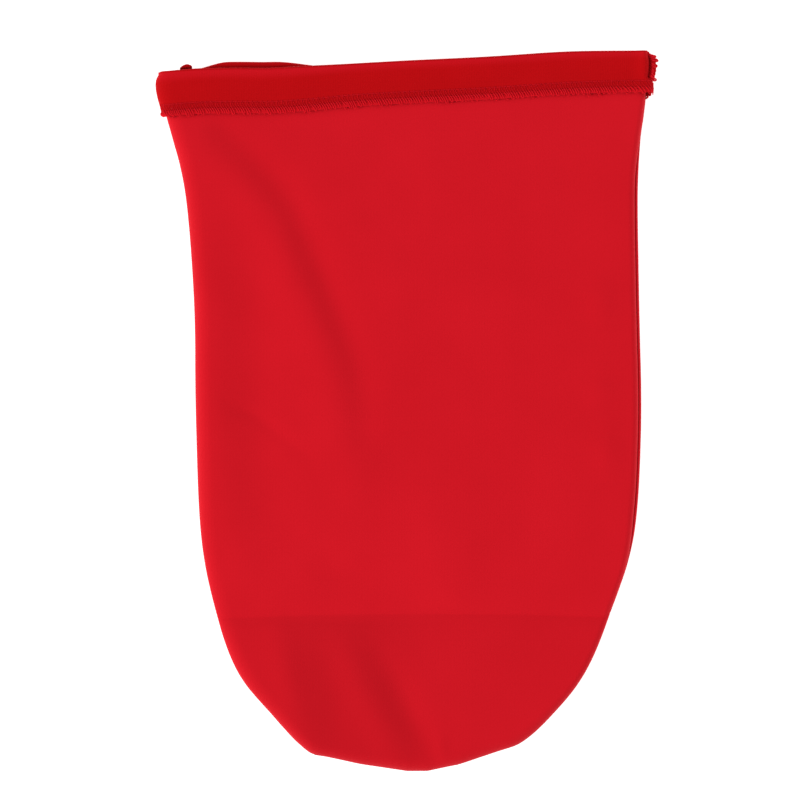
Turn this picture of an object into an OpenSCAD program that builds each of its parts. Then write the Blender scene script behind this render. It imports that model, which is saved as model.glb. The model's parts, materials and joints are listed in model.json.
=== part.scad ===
// Soft rope bag of stretch knit fabric, lying flat and empty. Two panels are sewn
// together round the sides and the toe. The mouth is turned out into a cuff, and the
// cuff's raw edge is overlocked and free.
// +X runs across the bag, +Y from the toe to the mouth, +Z up from the surface
// that the bag lies on. The origin is the middle of its footprint.

/* [Bag] */
// Length of the bag, from the toe's tip to the rim
bag_length = 302; // [240:1:360]
// Width of the flat bag half way along
bag_width = 186; // [150:1:230]
// Height of the front panel as the bag lies empty
bag_height = 9; // [9:0.5:12]
// Thickness of the knit fabric
fabric_t = 0.7; // [0.5:0.1:0.8]

/* [Cuff] */
// Depth of the cuff, from the rim to its overlocked edge
cuff_depth = 18; // [14:0.5:24]
// Slope of the rim across the bag, in degrees
rim_slope = 2.2; // [0:0.1:3]

/* [Stitching] */
// Width of the overlock stitch
overlock_w = 5.6; // [4:0.1:6]
// Thickness of the overlock threads on each face of the fabric
thread_t = 0.35; // [0.2:0.05:0.4]
// Width of the side and toe seam's allowance, with its overlock
allowance_w = 6.4; // [6:0.1:8]

/* [Hidden] */

fabric_red = [0.80, 0.09, 0.13];
inside_red = [0.69, 0.03, 0.08];
thread_red = [0.75, 0.08, 0.13];

// The outline is drawn for this length and width, and scaled from them
drawn_length = 302;
drawn_width = 186;
along = bag_length / drawn_length;
across = bag_width / drawn_width;

// The rim is straight and slopes across the bag
drawn_rim_y = 146.6;
function rim_point(x) = [x, drawn_rim_y + tan(rim_slope) * x * across / along];

// Outline of the sewn bag from the toe's tip to the rim. The left and the right
// point of one row are joined by a rib straight across the bag.
left_edge = [
    [1, -151], [-19, -148], [-39.3, -143.6], [-57.2, -126], [-70.6, -109], [-79.3, -85],
    [-85.8, -52], [-88, 0], [-88.7, 45], [-92.5, 92], [-99.8, 122], rim_point(-104.5)
];
right_edge = [
    [9, -151], [23, -148], [46.8, -140], [62.8, -126], [75.7, -109], [85.8, -85],
    [95.9, -52], [98.9, -5], [98.1, 45], [97.5, 92], [98.9, 122], rim_point(98.5)
];
straight_rows = 2;
crease_row = 5;
rim_row = len(left_edge) - 1;
ribs_per_row = 3;

// Clearances: between layers, at folds, and along the crease as a part of a row
gap = 0.3;
fold_gap = 0.35;
crease_gap = 0.012;

middle_x = 3.5 * across;
toe_start = -60 * along;
toe_tip = -151 * along;
rim_y = drawn_rim_y * along;

// Layers under the back panel at the mouth, counted up from the surface
left_seam_t = 1;
back_cuff_z = left_seam_t + thread_t + 0.05;
back_hinge_z = back_cuff_z + fabric_t + fold_gap;
mouth_lift = back_hinge_z + fold_gap;
lift_start = rim_y - cuff_depth - 12;
lift_length = 7;
rib_reach = 10.5 * along;

// Layers over the front panel at the mouth
front_hinge_z = bag_height + fold_gap;
front_cuff_z = front_hinge_z + fold_gap;

// The front shell: height of its upright edge, and how squarely it rounds over
edge_wall = 2;
dome_power = 6;
steps_across = 22;

// The cuff along the rim. Its flaps turn, and its ends stay round the bag's corners.
cuff_left = -104.9 * across;
cuff_right = 98.6 * across;
flap_left = -62 * across;
flap_right = 58 * across;
cuff_end_drop = 2.6;
hinge_gap = 0.15;

// Allowances of the perimeter seam, inside the bag and where it shows on the cuff
seam_near = 2.2;
slot_slack = 0.05;
seam_low = 0.1;
allowance_t = 1.1;
toe_seam_end = crease_row - 0.2;
side_seam_start = crease_row + 0.1;
side_seam_end = rim_row - 1 / ribs_per_row;
cuff_seam_start = -cuff_depth + 1;
cuff_seam_length = cuff_depth - 1.3;
right_seam_x = cuff_right + gap;
right_seam_w = overlock_w + 0.5;
right_seam_z = 1.9;
left_seam_x = -95.5 * across;
left_seam_thread_t = 0.2;

function scaled(p) = [p.x * across, p.y * along];

// One coordinate of a smooth curve through four points, between the middle two
function smooth(a, b, c, d, t) =
    0.5 * (2 * b + (c - a) * t + (2 * a - 5 * b + 4 * c - d) * t * t
        + (3 * b - a - 3 * c + d) * t * t * t);

function pick(points, i) = points[max(0, min(len(points) - 1, i))];

// The outline at row r, which need not be whole. The toe's first rows are straight.
function edge_at(points, r) =
    let (i = min(floor(r), len(points) - 2), t = r - i,
         a = pick(points, i - 1), b = pick(points, i),
         c = pick(points, i + 1), d = pick(points, i + 2))
    scaled(i < straight_rows
        ? b + (c - b) * t
        : [smooth(a.x, b.x, c.x, d.x, t), smooth(a.y, b.y, c.y, d.y, t)]);

// How far the back panel is lifted off the surface by the cuff under it
function lift(x, y) =
    mouth_lift * max(0, min(1, (y - tan(rim_slope) * x - lift_start) / lift_length));

// The same for what lies on the back panel, which starts to rise one rib earlier
function lift_over(x, y) = lift(x, y + rib_reach);

// The toe closes down to its edge; 1 on the rest of the bag
function toe_close(y) =
    let (s = max(0, (toe_start - y) / (toe_start - toe_tip)))
    sqrt(max(0, 1 - pow(min(1, s), 4)));

// Moved inwards from the edge by d: across the bag, or towards the toe's middle
function inwards(p, d) =
    let (to = [middle_x, max(p.y, toe_start)] - p)
    p + to * min(d / max(norm(to), 0.01), 0.9);

// Points of one surface of the front shell on one rib, from left to right. inset is
// how far the surface lies inside the outer one.
function rib(r, inset) =
    let (l = inwards(edge_at(left_edge, r), inset),
         e = inwards(edge_at(right_edge, r), inset),
         base = fabric_t + gap)
    [
        [l.x, l.y, lift_over(l.x, l.y) + base],
        for (k = [0 : steps_across])
            let (u = -cos(180 * k / steps_across),
                 p = l + (e - l) * (u + 1) / 2,
                 foot = lift_over(p.x, p.y) + base + edge_wall - inset * 0.3,
                 dome = sqrt(max(0, 1 - pow(abs(u), dome_power))) * toe_close(p.y))
            [p.x, p.y, foot + (bag_height - inset - foot) * dome],
        [e.x, e.y, lift_over(e.x, e.y) + base]
    ];

function reversed(points) = [for (k = [len(points) - 1 : -1 : 0]) points[k]];

// A closed solid through loops of points, all with the same number of points. A loop's
// second half runs back along its first half, so that strips between them close the ends.
module loft(loops) {
    n = len(loops[0]);
    end = (len(loops) - 1) * n;
    polyhedron(
        points = [for (loop = loops) each loop],
        faces = [
            for (k = [0 : n / 2 - 2])
                let (a = k, b = k + 1, c = n - 2 - k, d = n - 1 - k)
                each [[a, b, c], [a, c, d], [end + c, end + b, end + a], [end + d, end + c, end + a]],
            for (i = [0 : len(loops) - 2], k = [0 : n - 1])
                let (a = i * n + k, b = i * n + (k + 1) % n)
                each [[a, a + n, b + n], [a, b + n, b]]
        ],
        convexity = 6
    );
}

// Rows between two rows of the outline, about ribs_per_row to each
function rows_between(from_row, to_row) =
    let (count = ceil((to_row - from_row) * ribs_per_row - 0.1))
    [for (i = [0 : count]) from_row + (to_row - from_row) * i / count];

module front_shell(from_row, to_row) {
    loft([for (r = rows_between(from_row, to_row)) concat(rib(r, 0), reversed(rib(r, fabric_t)))]);
}

// The outline's flat shape between two rows
module flat_shape(from_row, to_row) {
    rows = rows_between(from_row, to_row);
    polygon(concat(
        [for (r = reversed(rows)) edge_at(left_edge, r)],
        [for (r = rows) edge_at(right_edge, r)]
    ));
}

module at_rim() {
    translate([0, rim_y, 0]) rotate([0, 0, rim_slope]) children();
}

// The back panel lies flat, and steps up over the cuff that is turned under it
module back_panel() {
    reach = 160 * across;
    toe_end = 2 * toe_tip;
    step_from = lift_start - rim_y;
    step_to = step_from + lift_length;
    profile = [
        [toe_end, 0], [step_from, 0], [step_to, mouth_lift], [-hinge_gap, mouth_lift],
        [-hinge_gap, mouth_lift + fabric_t], [step_to, mouth_lift + fabric_t],
        [step_from, fabric_t], [toe_end, fabric_t]
    ];
    color(fabric_red) intersection() {
        linear_extrude(height = bag_height) flat_shape(crease_row + crease_gap, rim_row);
        at_rim() translate([-reach, 0, 0]) rotate([90, 0, 90])
            linear_extrude(height = 2 * reach) polygon(profile);
    }
}

module front_panel() {
    color(fabric_red) front_shell(crease_row + crease_gap, rim_row);
}

module toe_back() {
    color(fabric_red) linear_extrude(height = fabric_t) flat_shape(0, crease_row);
}

module toe_front() {
    color(fabric_red) front_shell(0, crease_row);
}

// A point of the seam inside the bag, at height z over the back panel
function raised(p, z) = [p.x, p.y, lift_over(p.x, p.y) + fabric_t + z];

// Section of the allowance at an edge point: both panels' edges, one on the other
function allowance_section(p) =
    let (near = inwards(p, seam_near), far = inwards(p, seam_near + allowance_w - thread_t),
         low = seam_low + thread_t, high = low + allowance_t)
    [raised(near, low), raised(far, low), raised(far, high), raised(near, high)];

// Section of the overlock threads, a sleeve round the allowance's raw edge
function overlock_section(p) =
    let (far_d = seam_near + allowance_w,
         near = inwards(p, far_d - overlock_w), far = inwards(p, far_d),
         slot = inwards(p, far_d - thread_t + slot_slack),
         low = seam_low + thread_t - slot_slack, high = low + allowance_t + 2 * slot_slack)
    [
        raised(near, seam_low), raised(far, seam_low),
        raised(far, high + thread_t - slot_slack), raised(near, high + thread_t - slot_slack),
        raised(near, high), raised(slot, high), raised(slot, low), raised(near, low)
    ];

function edge_points(points, rows) = [for (r = rows) edge_at(points, r)];

side_rows = rows_between(side_seam_start, side_seam_end);
toe_rows = rows_between(1 / ribs_per_row, toe_seam_end);
toe_points = concat(reversed(edge_points(left_edge, toe_rows)), edge_points(right_edge, toe_rows));

// Where the panels' edges are sewn together along both sides, folded to the inside
module side_seam_allowances() {
    color(inside_red) {
        loft([for (p = reversed(edge_points(left_edge, side_rows))) allowance_section(p)]);
        loft([for (p = edge_points(right_edge, side_rows)) allowance_section(p)]);
    }
}

module side_seam_overlocks() {
    color(thread_red) {
        loft([for (p = reversed(edge_points(left_edge, side_rows))) overlock_section(p)]);
        loft([for (p = edge_points(right_edge, side_rows)) overlock_section(p)]);
    }
}

module toe_seam_allowance() {
    color(inside_red) loft([for (p = toe_points) allowance_section(p)]);
}

module toe_seam_overlock() {
    color(thread_red) loft([for (p = toe_points) overlock_section(p)]);
}

// A flat stretch of cuff along the rim, with its fabric's underside at z
module cuff_strip(from_x, to_x, z) {
    at_rim() translate([from_x, -cuff_depth + thread_t, z])
        cube([to_x - from_x, cuff_depth - thread_t - hinge_gap, fabric_t]);
}

// Overlock threads wrapped round the raw edge of a flat stretch of cuff
module edge_overlock(from_x, to_x, z) {
    at_rim() difference() {
        translate([from_x, -cuff_depth, z - thread_t])
            cube([to_x - from_x, overlock_w, fabric_t + 2 * thread_t]);
        translate([from_x - 1, -cuff_depth + thread_t, z])
            cube([to_x - from_x + 2, cuff_depth, fabric_t]);
    }
}

// A plate along one end of the front cuff, which curves down to the bag's corner at
// corner_x. It is t thick, and reaches from depth y0 to depth y1.
module curved_end(flap_x, corner_x, z, t, y0, y1) {
    steps = 10;
    function drop(s) = cuff_end_drop * (1 - sqrt(max(0, 1 - s * s)));
    low = [for (k = [0 : steps]) [flap_x + (corner_x - flap_x) * k / steps, z - drop(k / steps)]];
    high = [for (p = low) [p.x, p.y + t]];
    at_rim() translate([0, y1, 0]) rotate([90, 0, 0]) linear_extrude(height = y1 - y0)
        polygon(concat(low, reversed(high)));
}

module curved_ends(z, t, y0, y1) {
    curved_end(flap_left - gap, cuff_left, z, t, y0, y1);
    curved_end(flap_right + gap, cuff_right, z, t, y0, y1);
}

// The front cuff's flap turns up over the rim
module front_cuff() {
    color(inside_red) cuff_strip(flap_left, flap_right, front_cuff_z);
}

module front_cuff_overlock() {
    color(thread_red) edge_overlock(flap_left, flap_right, front_cuff_z);
}

module front_cuff_ends() {
    color(inside_red) curved_ends(front_cuff_z, fabric_t, -cuff_depth + thread_t, -hinge_gap);
}

module front_cuff_end_overlocks() {
    color(thread_red) difference() {
        curved_ends(front_cuff_z - thread_t, fabric_t + 2 * thread_t,
            -cuff_depth, -cuff_depth + overlock_w);
        curved_ends(front_cuff_z, fabric_t, -cuff_depth + thread_t, 0);
    }
}

// The back cuff lies under the back panel, and its flap turns with the front one
module back_cuff() {
    color(inside_red) cuff_strip(flap_left, flap_right, back_cuff_z);
}

module back_cuff_overlock() {
    color(thread_red) edge_overlock(flap_left, flap_right, back_cuff_z);
}

module back_cuff_ends() {
    color(inside_red) {
        cuff_strip(cuff_left, flap_left - gap, back_cuff_z);
        cuff_strip(flap_right + gap, cuff_right, back_cuff_z);
    }
}

module back_cuff_end_overlocks() {
    color(thread_red) {
        edge_overlock(cuff_left, flap_left - gap, back_cuff_z);
        edge_overlock(flap_right + gap, cuff_right, back_cuff_z);
    }
}

// The perimeter seam's allowance lies outside on the cuff. At the right it stands out
// past the cuff's end, and at the left it is rolled under the bag.
module right_cuff_seam() {
    color(inside_red) at_rim() translate([right_seam_x, cuff_seam_start, right_seam_z])
        cube([right_seam_w - thread_t, cuff_seam_length, allowance_t]);
}

module right_cuff_seam_overlock() {
    color(thread_red) at_rim() difference() {
        translate([right_seam_x + right_seam_w - overlock_w, cuff_seam_start, right_seam_z - thread_t])
            cube([overlock_w, cuff_seam_length, allowance_t + 2 * thread_t]);
        translate([right_seam_x, cuff_seam_start - 1, right_seam_z])
            cube([right_seam_w - thread_t, cuff_seam_length + 2, allowance_t]);
    }
}

module left_cuff_seam() {
    color(inside_red) at_rim() translate([left_seam_x, cuff_seam_start, left_seam_thread_t])
        cube([allowance_w - thread_t, cuff_seam_length, left_seam_t - 2 * left_seam_thread_t]);
}

module left_cuff_seam_overlock() {
    color(thread_red) at_rim() difference() {
        translate([left_seam_x + allowance_w - overlock_w, cuff_seam_start, 0])
            cube([overlock_w, cuff_seam_length, left_seam_t]);
        translate([left_seam_x, cuff_seam_start - 1, left_seam_thread_t])
            cube([allowance_w - thread_t, cuff_seam_length + 2, left_seam_t - 2 * left_seam_thread_t]);
    }
}

back_panel();
front_panel();
toe_back();
toe_front();
side_seam_allowances();
side_seam_overlocks();
toe_seam_allowance();
toe_seam_overlock();
front_cuff();
front_cuff_overlock();
front_cuff_ends();
front_cuff_end_overlocks();
back_cuff();
back_cuff_overlock();
back_cuff_ends();
back_cuff_end_overlocks();
right_cuff_seam();
right_cuff_seam_overlock();
left_cuff_seam();
left_cuff_seam_overlock();
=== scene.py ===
import json
import math

import bpy
import numpy as np
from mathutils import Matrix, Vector, noise


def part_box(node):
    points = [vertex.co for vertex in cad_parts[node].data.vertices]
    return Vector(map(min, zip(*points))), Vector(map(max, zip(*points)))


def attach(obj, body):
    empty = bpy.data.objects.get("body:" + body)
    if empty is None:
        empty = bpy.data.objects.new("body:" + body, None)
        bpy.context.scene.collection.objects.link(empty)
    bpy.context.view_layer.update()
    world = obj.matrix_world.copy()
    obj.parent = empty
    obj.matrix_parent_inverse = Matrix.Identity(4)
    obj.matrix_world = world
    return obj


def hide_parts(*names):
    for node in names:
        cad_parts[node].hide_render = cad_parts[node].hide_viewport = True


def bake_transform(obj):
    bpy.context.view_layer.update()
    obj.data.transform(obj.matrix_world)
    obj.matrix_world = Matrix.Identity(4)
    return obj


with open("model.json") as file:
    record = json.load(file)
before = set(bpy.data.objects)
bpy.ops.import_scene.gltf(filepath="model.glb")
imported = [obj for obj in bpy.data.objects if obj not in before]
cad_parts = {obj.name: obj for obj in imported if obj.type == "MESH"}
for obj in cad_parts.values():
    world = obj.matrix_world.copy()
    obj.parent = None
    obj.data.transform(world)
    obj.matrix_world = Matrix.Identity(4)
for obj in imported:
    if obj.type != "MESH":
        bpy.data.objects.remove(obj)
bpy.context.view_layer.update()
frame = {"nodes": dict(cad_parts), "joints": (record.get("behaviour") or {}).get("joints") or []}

MM = 0.001

# ---------------------------------------------------------------- sizes, in millimetres
FABRIC_T = 0.7
STITCH = 2.1
OVERLOCK_W = 5.2
NEEDLE_FAR = 5.1
NEEDLE_NEAR = 2.1
CUFF_DEPTH = 18.0
RIM_ROLL = 0.9
FAR_FROM_EDGE = 50.0

# Widths of the zones where one body's motion passes into the next
TOE_BLEND = 16
OPENING_BLEND = 40
FLAP_BLEND = 26

# Heights over the surface that the bag lies on
SEAM_Z = 2.4
FRONT_TOP = 7.9
MOUTH_TOP = 8.5
CUFF_TOP = 9.9
BACK_MOUTH_Z = 2.9
BACK_CUFF_Z = 1.2
CORNER_Z = 5.4


def joint(name):
    """The joint of that name, as the record states it."""
    return next(j for j in frame["joints"] if j["name"] == name)


HINGE_Y = joint("mouth_opening")["pos_m"][1] / MM
RIM_Y = joint("front_flap_turn")["pos_m"][1] / MM
RIM_AXIS = joint("back_flap_turn")["axis"]
RIM_SLOPE = RIM_AXIS[1] / RIM_AXIS[0]
FLAP_LEFT, FLAP_RIGHT = (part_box("front_cuff")[k].x / MM for k in (0, 1))
CUFF_LEFT, CUFF_RIGHT = (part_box("front_cuff_ends")[k].x / MM for k in (0, 1))


# ---------------------------------------------------------------- small tools
def smoothstep(t):
    t = np.clip(t, 0.0, 1.0)
    return t * t * (3 - 2 * t)


def between(a, b, c, d, t):
    """The place at t, from 0 at b to 1 at c, on the smooth curve through a, b, c and d."""
    square, cube = 2 * a - 5 * b + 4 * c - d, 3 * b - a - 3 * c + d
    return 0.5 * (2 * b + (c - a) * t + square * t**2 + cube * t**3)


def spline(points, count):
    """Points evenly spaced along a smooth curve through the given ones."""
    p = np.array(points, float)
    p = np.vstack([2 * p[0] - p[1], p, 2 * p[-1] - p[-2]])
    out = []
    for i in range(1, len(p) - 2):
        t = np.linspace(0, 1, 24, endpoint=False)[:, None]
        out.append(between(*p[i - 1 : i + 3], t))
    out = np.vstack(out + [p[-2:-1]])
    return resampled(out, count)


def resampled(points, count, closer=False):
    """The same polyline with count points at equal distances, or closer together towards its end."""
    length = np.concatenate([[0], np.cumsum(np.linalg.norm(np.diff(points, axis=0), axis=1))])
    share = np.linspace(0, 1, count)
    wanted = length[-1] * (np.sin(share * np.pi / 2) if closer else share)
    return np.stack([np.interp(wanted, length, points[:, k]) for k in range(points.shape[1])], 1)


def distance_to(points, line):
    """Distance from each point to a polyline, and how far along the line the nearest place is, 0 to 1."""
    best = np.full(len(points), 1e9)
    place = np.zeros(len(points))
    for i in range(len(line) - 1):
        a, b = line[i], line[i + 1]
        ab = b - a
        t = np.clip(((points - a) @ ab) / max(ab @ ab, 1e-12), 0, 1)
        dist = np.linalg.norm(points - a - t[:, None] * ab, axis=1)
        nearer = dist < best
        best = np.where(nearer, dist, best)
        place = np.where(nearer, (i + t) / (len(line) - 1), place)
    return best, place


def bumps(x, y, scale, seed):
    """Smooth, repeatable noise over the fabric, about -1 to 1."""
    flat = zip(np.ravel(x) / scale, np.ravel(y) / scale)
    return np.array([noise.noise((px + seed, py - seed, seed)) for px, py in flat]).reshape(np.shape(x))


# ---------------------------------------------------------------- the bag's outline, from the frame
def outline_chains():
    """The sewn outline from the toe's tip to the rim, on the left and on the right, from the back panel."""
    co = [v.co for name in ("toe_back", "back_panel") for v in frame["nodes"][name].data.vertices]
    points = np.unique(np.round(np.array([(c.x, c.y) for c in co]) / MM, 2), axis=0)
    tip = points[points[:, 1] < points[:, 1].min() + 0.05]
    middle = tip[:, 0].mean()
    chains = []
    for side in (points[points[:, 0] < middle], points[points[:, 0] > middle]):
        side = side[np.argsort(side[:, 1])]
        keep = np.concatenate([[True], np.linalg.norm(np.diff(side, axis=0), axis=1) > 1.5])
        chains.append(side[keep])
    return chains


LEFT_CHAIN, RIGHT_CHAIN = outline_chains()


def side_rows(chain, toe_rows, body_rows):
    """Row points along one side: from the tip to the crease, then from the crease to the rim."""
    smooth = spline(chain, 900)
    crease = int(np.argmin(abs(smooth[:, 1] - HINGE_Y)))
    smooth[crease, 1] = HINGE_Y
    return resampled(smooth[: crease + 1], toe_rows, closer=True), resampled(smooth[crease:], body_rows)


TOE_ROWS = 121
BODY_ROWS = 200
COLUMNS = 171
LEFT_TOE, LEFT_BODY = side_rows(LEFT_CHAIN, TOE_ROWS, BODY_ROWS)
RIGHT_TOE, RIGHT_BODY = side_rows(RIGHT_CHAIN, TOE_ROWS, BODY_ROWS)
# The cuff stretches the mouth's right corner a little, and covers the left one
RIGHT_BODY[:, 0] += 1.9 * smoothstep((RIGHT_BODY[:, 1] - 112) / 22)
LEFT_BODY[:, 0] += 2.4 * smoothstep((LEFT_BODY[:, 1] - 128) / 14)

# Along the right side the seam is rolled to the front, so the back panel's edge shows beside the front panel
SEAM_INSET = 0.12 + 1.3 * smoothstep((RIGHT_BODY[:, 1] + 72) / 30) * smoothstep((118 - RIGHT_BODY[:, 1]) / 22)
SEAM_RISE = 1.5 * SEAM_INSET
FRONT_RIGHT = RIGHT_BODY - np.stack([SEAM_INSET, 0 * SEAM_INSET], 1)


def whole_outline(right_body):
    """The outline as one line, from the left end of the rim round the toe to the right end."""
    left = np.vstack([LEFT_TOE[::2], LEFT_BODY[1::2]])
    return np.vstack([left[::-1], RIGHT_TOE[::2], right_body[1::2]])


OUTLINE = whole_outline(RIGHT_BODY)
FRONT_OUTLINE = whole_outline(FRONT_RIGHT)


def rim_wave(x):
    """How far the front rim leaves its straight line: it dips at the left and rises at the right."""
    dip = -0.75 * np.exp(-(((x + 40) / 34) ** 2)) - 0.4 * np.exp(-(((x + 57) / 10) ** 2))
    corner = -0.5 * (1 - smoothstep((x + 101) / 16))
    rise = 1.0 * np.exp(-(((x - 68) / 26) ** 2))
    return dip + corner + rise


def rim_line(x):
    return RIM_Y + RIM_SLOPE * x


# ---------------------------------------------------------------- the fabric's relief
# Each fold: its path over the front, its height, its width, all in millimetres
FOLD_STRENGTH = 1.15
FOLDS = [
    ([(-84, 109), (-70, 96), (-57, 80), (-47, 58), (-38, 36), (-30, 13), (-27, -9), (-22, -28)], 1.6, 12.0),
    ([(-76, 118), (-62, 104), (-48, 87), (-37, 62), (-28, 40), (-20, 17), (-18, -8)], -1.2, 7.0),
    ([(-38, 100), (-22, 76), (-6, 50)], 0.5, 13.0),
    ([(-82, 82), (-81, 40), (-80, 0), (-77, -38), (-70, -60)], 1.1, 9.5),
    ([(-62, 60), (-61, 20), (-58, -24), (-52, -56)], -0.6, 10.0),
    ([(-74, 3), (-61, -3), (-50, -12), (-40, -19)], -0.3, 3.0),
    ([(-42, -50), (-30, -66), (-12, -74)], -0.5, 9.0),
    ([(-53, -94), (-47, -118), (-42, -138)], 0.9, 7.0),
    ([(-36, -96), (-30, -118), (-27, -138)], -0.5, 7.0),
    ([(-25, -98), (-15, -121), (-4, -144)], 1.0, 7.0),
    ([(-9, -103), (2, -126), (11, -145)], -1.1, 6.5),
    ([(14, -135), (16, -146)], 0.3, 3.0),
    ([(81, 52), (82, 36)], 0.6, 6.0),
    ([(81, 15), (81, 4)], 0.5, 6.0),
    ([(84, -9), (84, -24)], 0.6, 6.0),
    ([(62, 112), (70, 88), (72, 60)], -0.4, 12.0),
    ([(20, 118), (34, 60), (30, -5), (44, -52)], -0.3, 18.0),
]


CREASE_DEPTH = 2.0


def relief(x, y):
    """Height of the folds and of the pressed crease at each point of the front fabric."""
    points = np.stack([np.ravel(x), np.ravel(y)], 1)
    z = np.zeros(len(points))
    for path, height, width in FOLDS:
        dist, along = distance_to(points, spline(path, 24))
        fade = 0.35 + 0.65 * np.sin(np.pi * np.clip(along, 0.03, 0.97)) ** 0.7
        z += FOLD_STRENGTH * height * fade * np.exp(-((dist / width) ** 2))
    z = z.reshape(np.shape(x))
    z += 0.25 * bumps(x, y, 42.0, 3.1) + 0.06 * bumps(x, y, 17.0, 7.7)
    return z + crease(x, y)


def crease(x, y):
    """The line pressed across the toe, a hollow. Below the line it is steep and then slack, and above the
    line it is slack at the left and steep at the right."""
    line = HINGE_Y + 0.3 - 2.2 * ((x - 10) / 90) ** 2
    dy = y - line
    away = np.sqrt(dy**2 + 0.4) - 0.63
    fades_over = 24.0 + (4.5 - 24.0) * smoothstep((x + 12) / 35)
    above = CREASE_DEPTH * np.exp(-away / fades_over)
    below = 0.75 * np.exp(-away / 2.4) + (CREASE_DEPTH - 0.75) * np.exp(-away / 10.0)
    return -np.where(dy > 0, above, below)


def edge_roll(t):
    """Rise of a rounded fabric edge, from 0 at the edge to 1 on the flat."""
    t = np.clip(t, 0.0, 1.0)
    return (1 - (1 - t) ** 2.3) ** (1 / 2.3)


def roll_width(x, y):
    """Width of the rounded edge: broad along the left side, tighter on the right and round the toe."""
    side = smoothstep((x + 60) / 120)
    toe = smoothstep((-110 - y) / 30)
    return (7.0 + (3.2 - 7.0) * side) * (1 - toe) + 5.5 * toe


def mouth_share(x, y):
    """How far a point is into the flat zone under the cuff: 0 on the body, 1 from 12 mm below the rim."""
    return smoothstep((y - (rim_line(x) - 26)) / 14)


def seam_foot(x, y):
    """Height of the side seam: it rises to the cuff's corner at the mouth."""
    return SEAM_Z + (CORNER_Z - 1.0 - SEAM_Z) * mouth_share(x, y)


def front_z(x, y, d):
    """Height of the front fabric's outer face, d inside the outline."""
    mouth = mouth_share(x, y)
    flat = FRONT_TOP + (1 - mouth) * relief(x, y) + (MOUTH_TOP - FRONT_TOP) * mouth
    rolled = np.interp(y, RIGHT_BODY[:, 1], SEAM_RISE) - 0.5 * np.interp(y, RIGHT_BODY[:, 1], SEAM_INSET)
    foot = seam_foot(x, y) + rolled * (x > 0) * (y > HINGE_Y)
    return foot + (flat - foot) * edge_roll(d / roll_width(x, y))


def back_z(x, y, d):
    """Height of the back fabric's outer face: flat on the surface, and up over the cuff at the mouth."""
    flat = BACK_MOUTH_Z * smoothstep((y - (rim_line(x) - 30)) / 12)
    foot = seam_foot(x, y)
    return foot + (flat - foot) * edge_roll(d / 5.0)


# ---------------------------------------------------------------- meshes
def off_edge(points):
    """Cloth places for points that are far from an overlocked edge."""
    return np.column_stack([np.asarray(points)[:, :2], np.full(len(points), FAR_FROM_EDGE)])


def new_mesh(name, verts, faces, materials, face_materials=None, cloth=None):
    """A smooth-shaded mesh object from points in millimetres. cloth gives each point's place on the cloth
    and its distance from an overlocked edge, which the materials use."""
    mesh = bpy.data.meshes.new(name)
    mesh.from_pydata((np.asarray(verts) * MM).tolist(), [], faces)
    for m in materials:
        mesh.materials.append(m)
    if face_materials is not None:
        mesh.polygons.foreach_set("material_index", np.asarray(face_materials, np.int32))
    mesh.polygons.foreach_set("use_smooth", np.ones(len(mesh.polygons), bool))
    if cloth is None:
        cloth = off_edge(verts)
    place = mesh.attributes.new("cloth", "FLOAT_VECTOR", "POINT")
    place.data.foreach_set("vector", np.asarray(cloth, np.float32).ravel())
    mesh.update()
    obj = bpy.data.objects.new(name, mesh)
    bpy.context.scene.collection.objects.link(obj)
    return obj


def grid_normals(grid):
    """The outward direction at each point of a grid."""
    along = np.gradient(grid, axis=0)
    across = np.gradient(grid, axis=1)
    n = np.cross(across, along)
    return n / np.maximum(np.linalg.norm(n, axis=2, keepdims=True), 1e-9)


def supported(grid):
    """The grid with one more line close inside each of its sides, so that shading stays the same up to the
    side, and two cloths that meet there show no line."""
    close = 0.03
    for _ in range(2):
        near = grid[:1] + close * (grid[1:2] - grid[:1])
        far = grid[-1:] + close * (grid[-2:-1] - grid[-1:])
        grid = np.concatenate([grid[:1], near, grid[1:-1], far, grid[-1:]]).swapaxes(0, 1)
    return grid


def cloth_shell(name, grid, outer, inner, lower=None, thickness=FABRIC_T, cloth=None):
    """A closed cloth between a grid of outer points, rows by columns, and a lower grid, or one at the
    given thickness. The rows run away from the viewer and the columns to the right, seen from outside."""
    rows, cols = grid.shape[:2]
    if lower is None:
        lower = grid - grid_normals(grid) * thickness
    verts = np.concatenate([grid.reshape(-1, 3), lower.reshape(-1, 3)])
    index = np.arange(rows * cols).reshape(rows, cols)
    a, b, c, d = index[:-1, :-1], index[:-1, 1:], index[1:, 1:], index[1:, :-1]
    top = np.stack([a, b, c, d], -1).reshape(-1, 4)
    below = top[:, ::-1] + rows * cols
    border = np.concatenate([index[0, :], index[1:, -1], index[-1, -2::-1], index[-2:0:-1, 0]])
    follow = np.roll(border, -1)
    side = np.stack([follow, border, border + rows * cols, follow + rows * cols], -1)
    faces = np.concatenate([top, below, side]).tolist()
    which = [0] * len(top) + [1] * len(below) + [0] * len(side)
    flat = None if cloth is None else np.concatenate([cloth.reshape(-1, 3)] * 2)
    return new_mesh(name, verts, faces, [outer, inner], which, flat)


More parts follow.
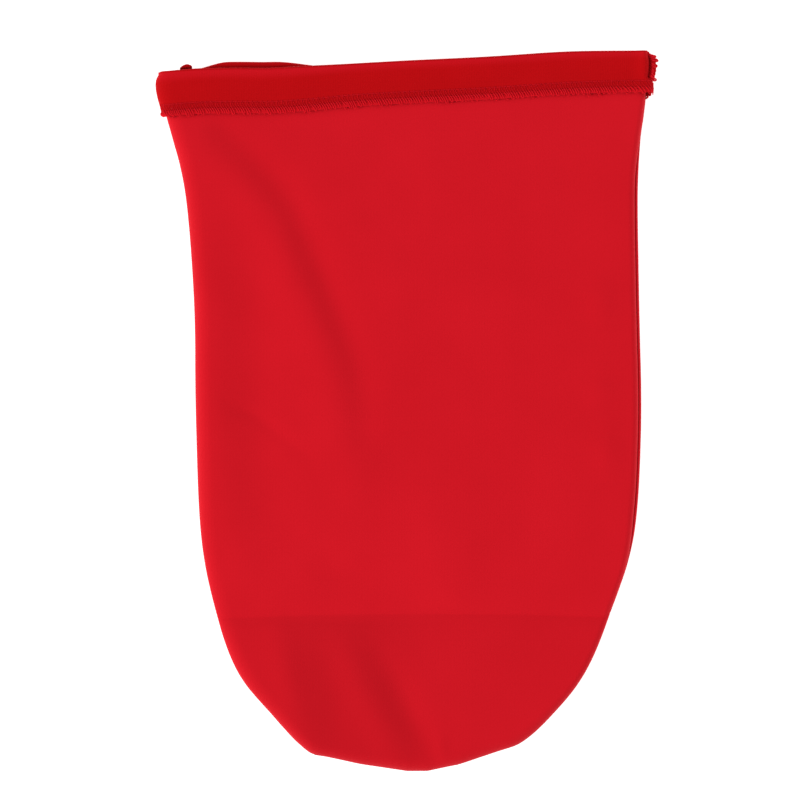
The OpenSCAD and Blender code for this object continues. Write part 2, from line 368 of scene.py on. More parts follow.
def tube(path, radius, sides=6):
    """Points and faces of a round thread along a path, with one radius or one for each point."""
    path = np.asarray(path, float)
    radius = np.broadcast_to(radius, len(path))
    tangent = np.gradient(path, axis=0)
    tangent /= np.maximum(np.linalg.norm(tangent, axis=1, keepdims=True), 1e-9)
    normal = np.cross(tangent[0], (0.3, 0.2, 0.93))
    angle = np.arange(sides) * 2 * np.pi / sides
    rings = []
    for p, t, r in zip(path, tangent, radius):
        normal = normal - t * (normal @ t)
        normal /= max(np.linalg.norm(normal), 1e-9)
        other = np.cross(t, normal)
        rings.append(p + r * (np.cos(angle)[:, None] * normal + np.sin(angle)[:, None] * other))
    n = len(path)
    faces = [
        (i * sides + k, i * sides + (k + 1) % sides, (i + 1) * sides + (k + 1) % sides, (i + 1) * sides + k)
        for i in range(n - 1)
        for k in range(sides)
    ]
    faces.append(tuple(range(sides - 1, -1, -1)))
    faces.append(tuple((n - 1) * sides + k for k in range(sides)))
    return np.vstack(rings), faces


def joined(parts):
    """Several (points, faces) as one."""
    verts, faces, start = [], [], 0
    for v, f in parts:
        verts.append(v)
        faces += [tuple(i + start for i in face) for face in f]
        start += len(v)
    return np.vstack(verts), faces


def blend_by(obj, weights):
    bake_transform(obj)
    return obj


def object_points(obj):
    """The object's vertices, in millimetres."""
    co = np.zeros(len(obj.data.vertices) * 3, np.float32)
    obj.data.vertices.foreach_get("co", co)
    return co.reshape(-1, 3) / MM


# ---------------------------------------------------------------- materials
def node_material(name):
    """A new material, its node tree and its shader node."""
    material = bpy.data.materials.new(name)
    material.use_nodes = True
    tree = material.node_tree
    shader = tree.nodes["Principled BSDF"]
    return material, tree, shader


def linked(tree, kind, inputs=None, **settings):
    """A node with its settings, and with inputs that are values or other nodes' sockets."""
    node = tree.nodes.new(kind)
    for key, value in settings.items():
        setattr(node, key, value)
    for key, value in (inputs or {}).items():
        if isinstance(value, bpy.types.NodeSocket):
            tree.links.new(value, node.inputs[key])
        else:
            node.inputs[key].default_value = value
    return node


def maths(tree, operation, a, b=0.0):
    """The result of a maths node on two values or sockets."""
    return linked(tree, "ShaderNodeMath", {0: a, 1: b}, operation=operation).outputs[0]


def knit_height(tree, x, y, wale, course):
    """Height of knit stitches: columns of small leaning loops, wale wide and course high, in millimetres."""
    column = maths(tree, "MULTIPLY", x, 2 * math.pi / wale)
    half = maths(tree, "SINE", maths(tree, "MULTIPLY", column, 0.5))
    lean = maths(tree, "MULTIPLY", maths(tree, "ABSOLUTE", half), 1.6)
    row = maths(tree, "ADD", maths(tree, "MULTIPLY", y, 2 * math.pi / course), lean)
    ridge = maths(tree, "MULTIPLY", maths(tree, "COSINE", column), 0.35)
    loop = maths(tree, "MULTIPLY", maths(tree, "SINE", row), 0.5)
    return maths(tree, "ADD", ridge, loop)


def falling(tree, value, start, end):
    """1 where value is under start, falling smoothly to 0 at end."""
    limits = {"From Min": start, "From Max": end, "To Min": 1.0, "To Max": 0.0}
    return linked(
        tree, "ShaderNodeMapRange", {"Value": value, **limits}, interpolation_type="SMOOTHSTEP"
    ).outputs["Result"]


def line_at(tree, value, middle, width):
    """1 where value is at middle, falling to 0 at width from it."""
    off = maths(tree, "ABSOLUTE", maths(tree, "SUBTRACT", value, middle))
    return falling(tree, off, 0.0, width)


def cloth_place(tree):
    """The point on the cloth in millimetres, and how far it is from an overlocked edge."""
    place = linked(tree, "ShaderNodeAttribute", attribute_name="cloth").outputs["Vector"]
    parts = linked(tree, "ShaderNodeSeparateXYZ", {0: place})
    return place, parts.outputs["X"], parts.outputs["Y"], parts.outputs["Z"]


def colour_ramp(tree, value, *stops):
    """Colours at places from 0 to 1."""
    ramp = linked(tree, "ShaderNodeValToRGB", {"Fac": value})
    elements = ramp.color_ramp.elements
    while len(elements) < len(stops):
        elements.new(0.5)
    for element, (at, colour) in zip(elements, stops):
        element.position = at
        element.color = (*colour, 1)
    return ramp.outputs["Color"]


def soft_shader(tree, shader, colour, height, strength, distance, roughness, sheen):
    """A dull shader with a little sheen, its colour and its relief."""
    tree.links.new(colour, shader.inputs["Base Color"])
    bump = linked(tree, "ShaderNodeBump", {"Height": height, "Strength": strength, "Distance": distance})
    tree.links.new(bump.outputs["Normal"], shader.inputs["Normal"])
    shader.inputs["Roughness"].default_value = roughness
    shader.inputs["Specular IOR Level"].default_value = 0.06
    shader.inputs["Sheen Weight"].default_value = sheen
    shader.inputs["Sheen Roughness"].default_value = 0.5
    shader.inputs["Sheen Tint"].default_value = (1.0, 0.3, 0.35, 1)


def fabric_material(name, dark, middle, light, wale, course, sheen, depth, stitched):
    """Knit fabric: slow colour variation, fibres, knit relief and a soft sheen. On a stitched fabric, the
    needle rows beside an overlocked edge are pulled in, with painted shade in and between them, and a painted
    highlight runs along the raw edge and along the rim. One without stitches has painted shade below the
    crease, most of all at the toe's left."""
    material, tree, shader = node_material(name)
    place, x, y, edge = cloth_place(tree)
    broad = linked(tree, "ShaderNodeTexNoise", {"Vector": place, "Scale": 0.03, "Detail": 2.0}).outputs["Fac"]
    fibre = linked(tree, "ShaderNodeTexNoise", {"Vector": place, "Scale": 1.7, "Detail": 4.0}).outputs["Fac"]
    mixed = maths(tree, "ADD", maths(tree, "MULTIPLY", broad, 0.5), maths(tree, "MULTIPLY", fibre, 0.5))
    colour = colour_ramp(tree, mixed, (0.3, dark), (0.5, middle), (0.7, light))
    height = maths(tree, "ADD", knit_height(tree, x, y, wale, course), maths(tree, "MULTIPLY", fibre, 0.9))
    if stitched:
        lean = maths(tree, "ADD", x, edge)
        hole = maths(tree, "SINE", maths(tree, "MULTIPLY", lean, 2 * math.pi / STITCH))
        pull = maths(tree, "ADD", maths(tree, "MULTIPLY", hole, 0.45), 0.55)
        near, far = line_at(tree, edge, NEEDLE_NEAR, 1.2), line_at(tree, edge, NEEDLE_FAR, 0.7)
        middle_band = line_at(tree, edge, (NEEDLE_NEAR + NEEDLE_FAR) / 2, 2.4)
        rows = maths(tree, "ADD", near, maths(tree, "MULTIPLY", far, 0.6))
        pulled = maths(tree, "MULTIPLY", rows, pull)
        height = maths(tree, "SUBTRACT", height, maths(tree, "MULTIPLY", pulled, 4.0))
        # Painted shade: darker at each stitch hole in the pulled-in needle rows, and a little darker between
        # the rows, where shadow falls among the threads
        dim = maths(tree, "MULTIPLY", middle_band, 0.14)
        dark_share = maths(tree, "ADD", maths(tree, "MULTIPLY", pulled, 0.65), dim)
        colour = tinted(tree, colour, ROW_PAINTED_SHADE, dark_share)
        # Painted highlight along the wrapped raw edge and along the fold at the rim, where the fabric catches
        # light
        for at, width, share in ((0.0, 2.8, 0.9), (CUFF_DEPTH + 0.5, 4.5, 0.75)):
            amount = maths(tree, "MULTIPLY", line_at(tree, edge, at, width), share)
            colour = tinted(tree, colour, EDGE_PAINTED_HIGHLIGHT, amount)
    else:
        # Painted shade below the crease, strongest at the toe's left, where the relief alone leaves the toe
        # too light
        below = falling(tree, y, -90.0, -83.5)
        left = maths(tree, "MULTIPLY", line_at(tree, x, -26.0, 48.0), 0.50)
        shaded = maths(tree, "MULTIPLY", below, maths(tree, "ADD", left, 0.15))
        colour = tinted(tree, colour, TOE_PAINTED_SHADE, shaded)
    soft_shader(tree, shader, colour, height, depth, 0.00008, 0.85, sheen)
    return material


def tinted(tree, colour, shade, amount):
    """The colour, mixed by amount towards another shade."""
    mix = tree.nodes.new("ShaderNodeMix")
    mix.data_type = "RGBA"
    for socket in mix.inputs:
        if socket.name == "A" and socket.type == "RGBA":
            tree.links.new(colour, socket)
        if socket.name == "B" and socket.type == "RGBA":
            socket.default_value = (*shade, 1)
    tree.links.new(amount, mix.inputs["Factor"])
    return next(out for out in mix.outputs if out.type == "RGBA")


def thread_material():
    """Overlock thread: textured polyester, with a fine twist."""
    material, tree, shader = node_material("overlock_thread")
    place, *_ = cloth_place(tree)
    fleck = linked(tree, "ShaderNodeTexNoise", {"Vector": place, "Scale": 2.6, "Detail": 3.0}).outputs["Fac"]
    colour = colour_ramp(tree, fleck, (0.32, (0.55, 0.0042, 0.0105)), (0.68, (0.66, 0.0070, 0.0155)))
    twist = linked(
        tree, "ShaderNodeTexWave", {"Vector": place, "Scale": 1.4, "Distortion": 1.5, "Detail": 1.0},
        bands_direction="DIAGONAL",
    ).outputs["Fac"]
    soft_shader(tree, shader, colour, twist, 0.4, 0.00006, 0.8, 0.0)
    return material


# Painted highlight on the cuff at its rim and along its wrapped edge, painted shade in the pulled-in needle
# rows, and painted shade on the front's toe
EDGE_PAINTED_HIGHLIGHT = (0.55, 0.0040, 0.0105)
ROW_PAINTED_SHADE = (0.15, 0.001, 0.003)
TOE_PAINTED_SHADE = (0.46, 0.0034, 0.0092)
FACE = fabric_material(
    "knit_face", (0.530, 0.0040, 0.0105), (0.555, 0.0046, 0.0118), (0.580, 0.0052, 0.0130),
    0.62, 0.48, 0.16, 0.3, stitched=False,
)
INSIDE = fabric_material(
    "knit_inside", (0.41, 0.0007, 0.0020), (0.44, 0.0009, 0.0026), (0.47, 0.0013, 0.0034),
    0.70, 0.55, 0.06, 0.5, stitched=True,
)
THREAD = thread_material()


# ---------------------------------------------------------------- panels
def rib_grid(left, right):
    """Plan positions of a panel: rows up the bag, columns from the left edge to the right edge."""
    u = (1 - np.cos(np.pi * np.arange(COLUMNS) / (COLUMNS - 1))) / 2
    return left[:, None, :] + (right - left)[:, None, :] * u[None, :, None]


def panel_grid(left, right, height, outline):
    """Outer and lower points of a panel, which thins out towards the seam."""
    plan = rib_grid(left, right)
    d = distance_to(plan.reshape(-1, 2), outline)[0].reshape(plan.shape[:2])
    d[:, 0] = d[:, -1] = 0
    z = height(plan[..., 0], plan[..., 1], d)
    side = -1 if height is front_z else 1
    thickness = FABRIC_T * (0.15 + 0.85 * smoothstep(d / 2.5))
    return np.dstack([plan, z]), np.dstack([plan, z + side * thickness])


def bent_rim(grid, wave):
    """The panel with its last rows moved, so that they end on the waving rim."""
    share = smoothstep((grid[..., 1] - (RIM_Y - 45)) / 45)
    return grid + np.dstack([0 * share, share * wave(grid[..., 0]), 0 * share])


def rolled_edge(grid, lower):
    """The back panel with its right edge carried on round the side, up to the seam on the front."""
    angle = np.linspace(0, np.pi / 2, 8)[1:]
    across = (1 - np.cos(angle))[None, :] * SEAM_INSET[:, None]
    up = np.sin(angle)[None, :] * SEAM_RISE[:, None]
    up[:, -1] -= 0.4 * SEAM_INSET
    edge = grid[:, -1:, :]
    roll = edge + np.dstack([-across, 0 * across, up])
    inner = roll + np.dstack([0.12 * FABRIC_T - 0 * across - 0.2, 0 * across, 0 * up - 0.12])
    return np.concatenate([grid, roll], 1), np.concatenate([lower, inner], 1)


def toe_weight(y):
    """Share of the toe's fold at a point: 0 at the crease, 1 at the end of the blend below it."""
    return smoothstep((HINGE_Y - y) / TOE_BLEND)


def opening_weight(x, y, left_x, right_x):
    """Share of the mouth's opening at a point: 1 in the middle of the front, 0 at its side edges."""
    from_side = np.minimum(x - left_x, right_x - x)
    return smoothstep(from_side / OPENING_BLEND) * smoothstep((y - HINGE_Y) / OPENING_BLEND)


def side_x(chain, y):
    """x of a side chain at the heights y."""
    return np.interp(y, chain[:, 1], chain[:, 0])


def opening_of(points):
    """The opening weight of each of an object's points."""
    return opening_weight(
        points[:, 0], points[:, 1], side_x(LEFT_BODY, points[:, 1]), side_x(RIGHT_BODY, points[:, 1])
    )


def flat_area(left, right):
    """Area of the cut between two side chains, in square metres."""
    loop = np.vstack([left, right[::-1]])
    x, y = loop[:, 0], loop[:, 1]
    return abs(np.sum(x * np.roll(y, -1) - y * np.roll(x, -1))) / 2 * MM * MM


def declare_panel(obj, left, right, seams):
    """Works out the area of a panel's cut between its two sides, and keeps nothing."""
    flat_area(left, right)


def make_panel(name, grids, node, rows, seams=()):
    """One panel for one node, from its outer and lower grids."""
    outer, lower = (supported(g) for g in grids)
    obj = cloth_shell(name, outer, FACE, INSIDE, lower)
    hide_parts(node)
    declare_panel(obj, *rows, seams)
    return obj


def make_panels(body_seams, toe_seams):
    """The two panels, each split at the crease. The seam pieces given for the back ones are passed on and not
    used.
    """
    toe = LEFT_TOE, RIGHT_TOE
    body = LEFT_BODY, RIGHT_BODY
    front_body = [bent_rim(g, rim_wave) for g in panel_grid(LEFT_BODY, FRONT_RIGHT, front_z, FRONT_OUTLINE)]
    back_body = [bent_rim(g, back_rim_wave) for g in rolled_edge(*panel_grid(*body, back_z, OUTLINE))]
    toe_front = make_panel("toe_front_cloth", panel_grid(*toe, front_z, OUTLINE), "toe_front", toe)
    front = make_panel("front_panel_cloth", front_body, "front_panel", body)
    toe_back = [g[:, ::-1] for g in panel_grid(*toe, back_z, OUTLINE)]
    toe_back = make_panel("toe_back_cloth", toe_back, "toe_back", toe, toe_seams)
    back = make_panel("back_panel_cloth", [g[:, ::-1] for g in back_body], "back_panel", body, body_seams)
    for obj in (toe_front, toe_back):
        blend_by(obj, toe_weight(object_points(obj)[:, 1]))
    blend_by(front, opening_of(object_points(front)))
    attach(back, "bag_back")


# ---------------------------------------------------------------- cuff
# The cuff's ends: x at shares of the way from the rim, 0, to the overlocked edge, 1
LEFT_END = spline([
    (0, -102.9), (0.06, -103.8), (0.16, -104.5), (0.32, -104.6), (0.52, -104.0), (0.72, -103.0),
    (0.83, -102.5), (0.87, -102.3), (0.93, -102.7), (0.98, -102.2), (1.0, -101.2),
], 200)
RIGHT_END = spline([
    (0, 101.4), (0.25, 102.0), (0.5, 101.8), (0.62, 101.6), (0.7, 103.2), (0.8, 103.8), (1.0, 103.7),
], 200)
# The back cuff ends this far inside the front one
BACK_INSET = 0.8


def end_at(profile, share):
    """x of a cuff's end at the given shares."""
    return np.interp(share, profile[:, 0], profile[:, 1])


def cuff_x(x, share, inset=0.0):
    """x on a cuff, moved to follow the shape of the cuff's ends."""
    left = (end_at(LEFT_END, share) + inset - CUFF_LEFT) * (1 - smoothstep((x - CUFF_LEFT) / 14))
    right = (end_at(RIGHT_END, share) - inset - CUFF_RIGHT) * (1 - smoothstep((CUFF_RIGHT - x) / 14))
    return x + left + right


def cuff_depth(x):
    """Depth of the front cuff below the rim: a little deeper at the left."""
    return CUFF_DEPTH + 1.1 * smoothstep((-18 - x) / 30) - 0.5 * smoothstep((x - 60) / 35)


def cuff_z(x, share):
    """Height of the front cuff's outer face: slack in the middle, and pulled up beside its right end."""
    flat = CUFF_TOP + 0.2 * bumps(x, 3 * cuff_depth(x), 26.0, 11.3)
    flat = flat - 0.5 * np.exp(-(((share - 0.45) / 0.28) ** 2)) - 0.25 * smoothstep((share - 0.6) / 0.4)
    flat = flat + 0.9 * np.exp(-(((x - 99.6) / 2.6) ** 2)) * (1 - 0.7 * smoothstep((share - 0.5) / 0.2))
    left = edge_roll((x - end_at(LEFT_END, share)) / 8.0)
    right = edge_roll((end_at(RIGHT_END, share) - x) / 2.2)
    return CORNER_Z + (flat - CORNER_Z) * left * right


def back_rim_shows(x):
    """Where the back rim stands out beyond the front one, from 0 to 1."""
    return smoothstep((x + 91) / 17) * smoothstep((-31 - x) / 25)


def back_rim_wave(x):
    """The back rim shows above the front one at the left."""
    return rim_wave(x) + 2.9 * back_rim_shows(x) - 0.5 * smoothstep((x + 10) / 40)


def turned_over(rim, top, bottom, curl=0.0):
    """Rows of a cuff that go over the rim, from the cuff's height at top to the tucked-in height at bottom,
    with the fold curled up by curl. Each is y, z, and the share of the flap's turn there."""
    for angle in np.linspace(0, np.pi, 12)[1:]:
        z = top + (bottom + curl - top) * (1 - np.cos(angle)) / 2
        yield rim - RIM_ROLL + RIM_ROLL * np.sin(angle), z, smoothstep(1 - angle / np.pi)
    for back in (1.5, 3.0, 4.5, 6.0, 7.5, 9.0):
        yield rim - back, bottom + curl * (1 - smoothstep((back - 1.0) / 8)), 0.0


def front_cuff_grid(x):
    """The front cuff's outer face: rows from the edge up to the rim and over it, with their places on the
    cloth and the share of the flap's turn."""
    rim = rim_line(x) + rim_wave(x)
    depth = cuff_depth(x)
    rows = []
    for share in np.linspace(1, 0, 34):
        place = cuff_x(x, share)
        y = rim - RIM_ROLL - (depth - RIM_ROLL) * share
        rows.append((place, y, cuff_z(place, share), np.ones_like(x), (1 - share) * depth))
    place, top = rows[-1][0], rows[-1][2]
    bottom = np.minimum(MOUTH_TOP - FABRIC_T - 0.15, top - 2 * FABRIC_T)
    for y, z, turn in turned_over(rim, top, bottom):
        rows.append((place, y, z, np.full_like(x, turn), np.full_like(x, FAR_FROM_EDGE)))
    return cuff_arrays(x, rows)


def back_cuff_grid(x):
    """The same for the back cuff, whose outer face looks down."""
    rim = rim_line(x) + back_rim_wave(x)
    roll = back_cuff_roll(x)
    low = CORNER_Z + (BACK_CUFF_Z - CORNER_Z) * roll
    high = np.maximum(CORNER_Z + (BACK_MOUTH_Z + FABRIC_T + 0.3 - CORNER_Z) * roll, low + 2 * FABRIC_T)
    rows = []
    for share in np.linspace(1, 0, 26):
        place = cuff_x(x, share, BACK_INSET)
        y = rim - RIM_ROLL - (CUFF_DEPTH - RIM_ROLL) * share
        rows.append((place, y, low, np.ones_like(x), np.full_like(x, (1 - share) * CUFF_DEPTH)))
    for y, z, turn in turned_over(rim, low, high, 3.2 * back_rim_shows(x)):
        rows.append((place, y, z, np.full_like(x, turn), np.full_like(x, FAR_FROM_EDGE)))
    return cuff_arrays(x, rows)


def back_cuff_roll(x):
    """How far the back cuff is down from its corners, 0 at its ends."""
    return edge_roll(np.minimum(x - CUFF_LEFT, CUFF_RIGHT - x) / 7.0)


def cuff_arrays(x, rows):
    """Points, places on the cloth and turn shares as grids of rows by columns."""
    place, y, z, turn, edge = (np.array([np.broadcast_to(row[k], x.shape) for row in rows]) for k in range(5))
    own_x = np.broadcast_to(x, y.shape)
    whole = supported(np.dstack([place, y, z, own_x, y, edge, turn]))
    return whole[..., :3], whole[..., 3:6], whole[..., 6]


def flap_taper(x):
    """The flap turns fully in its middle, and its ends stay with the turned-down corners."""
    return smoothstep((x - FLAP_LEFT) / FLAP_BLEND) * smoothstep((FLAP_RIGHT - x) / FLAP_BLEND)


def make_front_cuff():
    """The front cuff: the part that turns, and its two ends. Each is a piece and its span."""
    near = np.sin(np.linspace(0, np.pi / 2, 56))
    far = 1 - near[::-1]
    spans = [
        ("front_cuff_left_cloth", CUFF_LEFT + (FLAP_LEFT - CUFF_LEFT) * far),
        ("front_cuff_cloth", np.linspace(FLAP_LEFT, FLAP_RIGHT, 130)),
        ("front_cuff_right_cloth", FLAP_RIGHT + (CUFF_RIGHT - FLAP_RIGHT) * near),
    ]
    pieces = []
    for name, x in spans:
        grid, cloth, turn = front_cuff_grid(x)
        obj = cloth_shell(name, grid, INSIDE, FACE, cloth=cloth)
        if name == "front_cuff_cloth":
            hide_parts("front_cuff")
            weights = (turn * flap_taper(cloth[..., 0])).ravel()
            blend_by(obj, np.concatenate([weights] * 2))
        else:
            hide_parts("front_cuff_ends")
            blend_by(obj, opening_of(object_points(obj)))
        pieces.append((obj, x[-1] - x[0]))
    return pieces


def make_back_cuff():
    """The back cuff, in one piece, and its span."""
    x = CUFF_LEFT + (CUFF_RIGHT - CUFF_LEFT) * (1 - np.cos(np.linspace(0, np.pi, 220))) / 2
    grid, cloth, turn = (part[:, ::-1] for part in back_cuff_grid(x))
    obj = cloth_shell("back_cuff_cloth", grid, INSIDE, FACE, cloth=cloth)
    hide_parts("back_cuff", "back_cuff_ends")
    weights = (turn * flap_taper(cloth[..., 0])).ravel()
    blend_by(obj, np.concatenate([weights] * 2))
    return obj, x[-1] - x[0]


# ---------------------------------------------------------------- overlock stitches
# One stitch of a looper thread: how far along, how far from the far needle row, 0, to the raw edge, 1, and
# how far round the edge. It leans one way both down to the edge and back up.
LOOP = [
    (0.00, 0.00, 0.0), (0.22, 0.20, 0.0), (0.45, 0.40, 0.0), (0.80, 0.62, 0.0), (1.12, 0.85, 0.1),
    (1.28, 0.98, 0.5), (1.42, 1.02, 0.95), (1.60, 0.99, 0.5), (1.58, 0.86, 0.1), (1.28, 0.64, 0.0),
    (0.96, 0.42, 0.0), (0.84, 0.20, 0.0), (0.88, 0.00, 0.0), (0.95, -0.03, 0.0),
]


def looper_path(count, seed, ragged):
    """One looper thread of count stitches, with each stitch a little different."""
    rng = np.random.default_rng(seed)
    points = []
    for i in range(count):
        shift, reach, swing = rng.normal(0, ragged, 3)
        for s, down, round_edge in LOOP:
            points.append((i + s + shift * down, down * (1 + reach * down), round_edge + 0.4 * swing * down))
    return np.array(points)


def densely(points, per_step=2):
    """A smooth curve with per_step points for each of the given ones."""
    p = np.vstack([2 * points[0] - points[1], points, 2 * points[-1] - points[-2]])
    around = p[:-3], p[1:-2], p[2:-1], p[3:]
    out = [between(*around, k / per_step) for k in range(per_step)]
    return np.stack(out, 1).reshape(-1, points.shape[1])


NEEDLE_R = 0.11


def overlock(
    name, start, end, surface, seed, width=OVERLOCK_W, thickness=FABRIC_T, ragged=0.08, overrun=0.0, bold=1.0
):
    """Overlock threads along an edge from start to end, in millimetres: a looper on each face and two needle
    rows. surface(s, across, lift) gives the point at s along the edge, across back from the edge, and lift
    over the fabric's middle. The last stitch may overrun the end, by overrun stitches. bold widens the
    threads."""
    count = max(3, int(round((end - start) / STITCH)))
    pitch = (end - start) / count
    half = thickness / 2 + 0.12
    parts = []
    for side in (1, -1):
        p = densely(looper_path(count, seed + side, ragged))
        s = start + np.clip(p[:, 0], 0, count + overrun) * pitch
        lift = side * half * np.cos(np.clip(p[:, 2], 0, 1.05) * np.pi / 2)
        radius = bold * (0.09 + 0.16 * smoothstep((p[:, 1] - 0.45) / 0.2))
        parts.append(tube(surface(s, width * (1 - p[:, 1]), lift), radius))
    s = np.arange(0, count, 0.125)
    hop = np.abs(np.sin(np.pi * s)) ** 0.6
    for row in (NEEDLE_FAR, NEEDLE_NEAR):
        lift = half * (0.1 + 0.95 * hop)
        across = np.full_like(s, row * width / OVERLOCK_W)
        parts.append(tube(surface(start + s * pitch, across, lift), NEEDLE_R))
    verts, faces = joined(parts)
    obj = new_mesh(name, verts, faces, [THREAD])
    return obj


def on_front_cuff(s, across, lift):
    """A point on the front cuff near its edge: s is x, and across is measured up from the edge."""
    depth = cuff_depth(s)
    share = 1 - across / depth
    x = cuff_x(s, share)
    y = rim_line(s) + rim_wave(s) - RIM_ROLL - (depth - RIM_ROLL) * share
    return np.stack([x, y, cuff_z(x, np.minimum(share, 1)) - FABRIC_T / 2 + lift], 1)


def on_back_cuff(s, across, lift):
    """The same on the back cuff."""
    z = CORNER_Z + (BACK_CUFF_Z - CORNER_Z) * back_cuff_roll(s) + FABRIC_T / 2 - lift
    y = rim_line(s) + back_rim_wave(s) - CUFF_DEPTH + across
    return np.stack([cuff_x(s, 1 - across / CUFF_DEPTH, BACK_INSET), y, z], 1)


def make_cuff_overlocks():
    """The threads of the cuff's edge, in the order of the cuff's pieces."""
    spans = [
        ("front_cuff_left_threads", CUFF_LEFT + 0.3, FLAP_LEFT, "front_cuff_end_overlocks"),
        ("front_cuff_threads", FLAP_LEFT, FLAP_RIGHT, "front_cuff_overlock"),
        ("front_cuff_right_threads", FLAP_RIGHT, CUFF_RIGHT - 0.3, "front_cuff_end_overlocks"),
    ]
    pieces = []
    for k, (name, start, end, node) in enumerate(spans):
        obj = overlock(name, start, end, on_front_cuff, 20 + 5 * k, overrun=0.8 if k < 2 else 0.0)
        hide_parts(node)
        points = object_points(obj)
        if node == "front_cuff_overlock":
            blend_by(obj, flap_taper(points[:, 0]))
        else:
            blend_by(obj, opening_of(points))
        pieces.append(obj)
    obj = overlock("back_cuff_threads", CUFF_LEFT + 0.5, CUFF_RIGHT - 0.5, on_back_cuff, 60)
    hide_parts("back_cuff_overlock", "back_cuff_end_overlocks")
    blend_by(obj, flap_taper(object_points(obj)[:, 0]))
    return pieces + [obj]


# ---------------------------------------------------------------- the perimeter seam
# Where the inside allowance starts and ends, inward of the seam, and the thickness of its two layers
ALLOWANCE_NEAR = 1.4
ALLOWANCE_FAR = 8.0
ALLOWANCE_T = 1.2 * FABRIC_T
OUTSIDE_T = 0.8


def inward_of(path):
    """Inward directions along a path that runs with the bag on its left."""
    tangent = np.gradient(path, axis=0)
    tangent /= np.maximum(np.linalg.norm(tangent, axis=1, keepdims=True), 1e-9)
    return np.stack([-tangent[:, 1], tangent[:, 0]], 1)


def along(path):
    """Distance along a path at each of its points."""
    return np.concatenate([[0], np.cumsum(np.linalg.norm(np.diff(path, axis=0), axis=1))])


def allowance_surface(path):
    """A function for points on the allowance inside the bag: s along path, across from its raw edge."""
    length = along(path)
    inward = inward_of(path)

    def surface(s, across, lift):
        p = np.stack([np.interp(s, length, path[:, k]) for k in (0, 1)], 1)
        n = np.stack([np.interp(s, length, inward[:, k]) for k in (0, 1)], 1)
        q = p + n * (ALLOWANCE_FAR - across)[:, None]
        return np.column_stack([q, seam_foot(p[:, 0], p[:, 1]) - 0.2 + lift])

    return surface, length[-1]


def make_allowance(name, path, nodes, seed):
    """The overlocked allowance inside the bag along one stretch of the seam."""
    surface, length = allowance_surface(path)
    s = np.linspace(0, length, max(30, int(length / 2)))
    across = np.linspace(ALLOWANCE_FAR - ALLOWANCE_NEAR, 0.3, 6)
    grid = np.array([surface(s, np.full_like(s, a), np.full_like(s, ALLOWANCE_T / 2)) for a in across])
    strip = cloth_shell(name + "_cloth", grid, INSIDE, INSIDE, thickness=ALLOWANCE_T)
    threads = overlock(name + "_threads", 1.0, length - 1.0, surface, seed, thickness=ALLOWANCE_T)
    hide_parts(nodes[0])
    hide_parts(nodes[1])
    for obj in (strip, threads):
        if nodes[0] == "toe_seam_allowance":
            blend_by(obj, toe_weight(object_points(obj)[:, 1]))
        else:
            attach(obj, "bag_back")
    return [strip, threads]


def make_seam():
    """The seam's allowance and threads inside the bag: the left side, the right side and the toe."""
    sides = ("side_seam_allowances", "side_seam_overlocks")
    toe = ("toe_seam_allowance", "toe_seam_overlock")
    return (
        make_allowance("left_side_seam", LEFT_BODY[::-1][6:], sides, 101)
        + make_allowance("right_side_seam", RIGHT_BODY[:-6], sides, 111)
        + make_allowance("toe_seam", np.vstack([LEFT_TOE[::-1], RIGHT_TOE])[1:-1], toe, 121)
    )


# Where the seam's allowance lies outside on the cuff: its sewn line and its raw edge, from the rim down
RIGHT_SEWN = [(98.9, 149.8), (100.6, 148.2), (101.3, 145.4), (101.1, 142.0), (100.6, 138.6), (100.2, 135.0)]
RIGHT_RAW = [(101.3, 150.1), (103.9, 148.2), (104.8, 145.2), (104.8, 142.2), (103.9, 139.0), (102.8, 135.0)]
LEFT_SEWN = [(-89.0, 144.1), (-89.1, 141.0), (-89.2, 136.0), (-89.4, 131.0), (-89.6, 126.8)]
LEFT_RAW = [(-94.7, 143.4), (-94.9, 140.0), (-95.0, 136.0), (-95.2, 131.0), (-95.4, 126.8)]


def outside_surface(sewn, raw, height):
    """A function for points on an allowance between its sewn line and its raw edge. height(point, share)
    moves a point and gives its height."""
    raw, sewn = spline(raw, 60), spline(sewn, 60)
    length = along(raw)

    def surface(s, across, lift):
        edge = np.stack([np.interp(s, length, raw[:, k]) for k in (0, 1)], 1)
        line = np.stack([np.interp(s, length, sewn[:, k]) for k in (0, 1)], 1)
        width = np.linalg.norm(line - edge, axis=1)
        share = across / width
        p = edge + (line - edge) * share[:, None]
        p, z = height(p, share)
        return np.column_stack([p, z + lift])

    return surface, length[-1]


def curled(p, share):
    """The right allowance stands up between the cuff's end and its own raw edge."""
    return p, 5.6 + 2.8 * np.sin(np.pi * np.clip(0.72 - 0.66 * share, 0, 1))


def tucked(p, share):
    """The left allowance is flat under the cuff, and its end curls up behind the rim."""
    out = smoothstep((p[:, 1] - 141.0) / 3.0)
    y = p[:, 1] + 1.5 * out * np.sin(np.pi * np.clip(share, 0, 1)) ** 0.8
    return np.column_stack([p[:, 0], y]), 0.8 + 4.6 * smoothstep((y - 142.6) / 1.4)


def make_outside_allowance(name, sewn, raw, height, nodes, reach, ragged, bold, seed):
    """One end of the seam that lies outside on the cuff, reaching in from its raw edge, with its threads."""
    surface, length = outside_surface(sewn, raw, height)
    s = np.linspace(0, length, 50)
    lift = np.full_like(s, OUTSIDE_T / 2)
    grid = np.array([surface(s, np.full_like(s, a), lift) for a in np.linspace(reach, 0.2, 14)])
    if sewn is LEFT_SEWN:
        grid = grid[:, ::-1]
    strip = cloth_shell(name + "_cloth", grid, INSIDE, INSIDE, lower=grid - [0, 0, OUTSIDE_T])
    threads = overlock(
        name + "_threads", 0, length, surface, seed, width=4.3, thickness=OUTSIDE_T, ragged=ragged, bold=bold
    )
    for obj, node in ((strip, nodes[0]), (threads, nodes[1])):
        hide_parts(node)
        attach(obj, "bag_back")
    return [strip, threads]


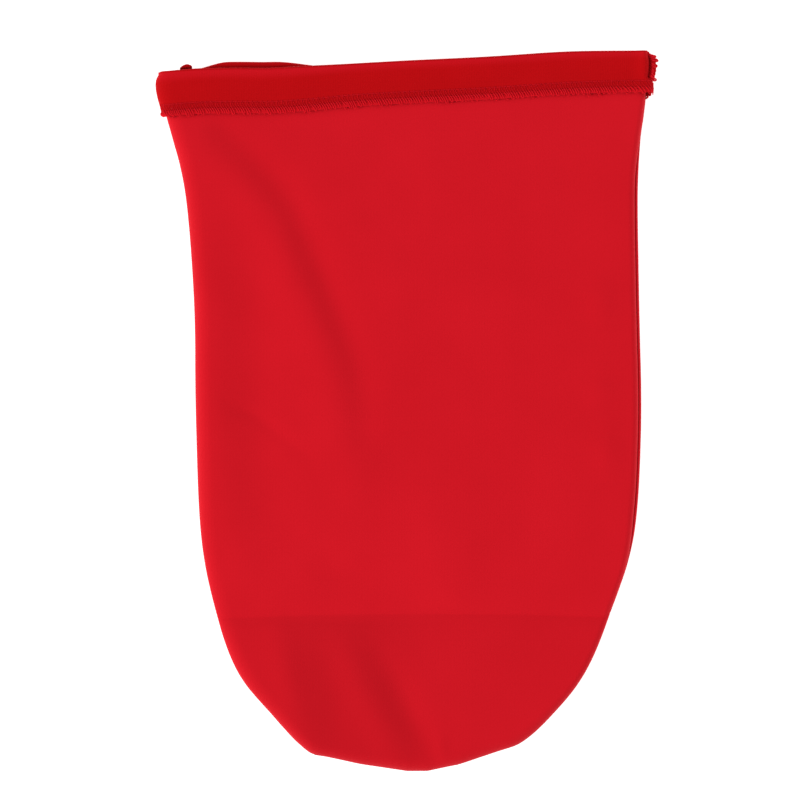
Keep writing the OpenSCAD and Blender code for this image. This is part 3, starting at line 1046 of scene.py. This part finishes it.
def make_cuff_seams():
    """Both ends of the seam outside the bag."""
    right = ("right_cuff_seam", "right_cuff_seam_overlock")
    left = ("left_cuff_seam", "left_cuff_seam_overlock")
    return (
        make_outside_allowance("right_cuff_seam", RIGHT_SEWN, RIGHT_RAW, curled, right, 4.4, 0.17, 1.4, 131)
        + make_outside_allowance("left_cuff_seam", LEFT_SEWN, LEFT_RAW, tucked, left, 5.4, 0.05, 1.0, 141)
    )


# ---------------------------------------------------------------- floor, light and camera
FLOOR_HALF = 4.0


def make_floor():
    """A pale, plain floor."""
    material, _, shader = node_material("floor")
    shader.inputs["Base Color"].default_value = (0.9, 0.9, 0.9, 1)
    shader.inputs["Roughness"].default_value = 0.9
    shader.inputs["Specular IOR Level"].default_value = 0.05
    shader.inputs["Emission Color"].default_value = (1, 1, 1, 1)
    shader.inputs["Emission Strength"].default_value = 0.6
    mesh = bpy.data.meshes.new("floor")
    corners = [(FLOOR_HALF * a, FLOOR_HALF * b, 0) for a, b in ((-1, -1), (1, -1), (1, 1), (-1, 1))]
    mesh.from_pydata(corners, [], [(0, 1, 2, 3)])
    mesh.materials.append(material)
    floor = bpy.data.objects.new("floor", mesh)
    bpy.context.scene.collection.objects.link(floor)


def area_light(name, place, size, power):
    """A round light at place, turned to the bag."""
    light = bpy.data.lights.new(name, "AREA")
    light.shape = "DISK"
    light.size = size
    light.energy = power
    obj = bpy.data.objects.new(name, light)
    obj.location = place
    obj.rotation_euler = (-Vector(place)).to_track_quat("-Z", "Y").to_euler()
    bpy.context.scene.collection.objects.link(obj)


def make_lights():
    """A soft key from the left, a weak fill from the right, and an even surround."""
    area_light("key", (-2.3, -0.7, 1.25), 1.4, 57)
    area_light("fill", (1.3, 0.3, 1.0), 1.4, 8)
    world = bpy.data.worlds.new("studio")
    world.use_nodes = True
    world.node_tree.nodes["Background"].inputs["Color"].default_value = (1, 1, 1, 1)
    world.node_tree.nodes["Background"].inputs["Strength"].default_value = 0.64
    bpy.context.scene.world = world
    bpy.context.scene.view_settings.view_transform = "Standard"


# The camera's height over the bag's top, and the width and the middle of its view, in metres
CAMERA_DISTANCE = 1.2
VIEW_WIDTH = 0.3342
VIEW_CENTRE = (-0.0023, 0.0047)


def make_camera():
    """A long lens that looks straight down."""
    camera = bpy.data.cameras.new("camera")
    camera.lens = camera.sensor_width * CAMERA_DISTANCE / VIEW_WIDTH
    obj = bpy.data.objects.new("camera", camera)
    obj.location = (*VIEW_CENTRE, CAMERA_DISTANCE + FRONT_TOP * MM)
    bpy.context.scene.collection.objects.link(obj)
    bpy.context.scene.camera = obj


make_camera()
make_lights()
make_floor()
seams = make_seam()
make_panels(seams[:4] + make_cuff_seams(), seams[4:])
for (piece, span), threads in zip(make_front_cuff() + [make_back_cuff()], make_cuff_overlocks()):
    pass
